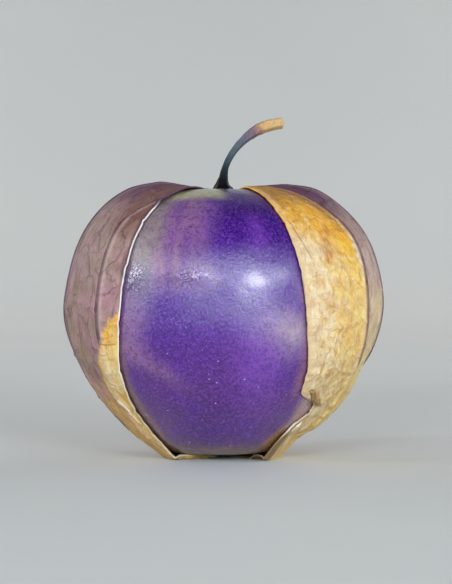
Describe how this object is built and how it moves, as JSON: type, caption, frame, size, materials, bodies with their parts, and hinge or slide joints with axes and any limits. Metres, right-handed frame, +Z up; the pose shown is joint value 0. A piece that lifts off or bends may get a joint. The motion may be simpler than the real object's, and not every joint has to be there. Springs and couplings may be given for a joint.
{
  "type": "tomatillo",
  "caption": "Round purple tomatillo in a dry, ribbed and veined papery husk that is torn open at the front, with a thin curved stem.",
  "frame": {"origin": "middle of the surface it stands on, under the middle of its bounding box", "axes": "+Z up, towards the stem end; -Y towards the torn, open side of the husk; +X towards the side the stem bends to"},
  "size_m": [0.0501, 0.0467, 0.0529],
  "materials": {
    "fruit": "waxy, mottled purple skin",
    "husk": "dry and papery, purple at the back and sides, yellow beside the tear",
    "stem": "dry, dark at the root and tan at the cut end"
  },
  "bodies": {
    "root": {"fruit": "fruit", "husk": "husk", "stem": "stem"}
  },
  "joints": []
}
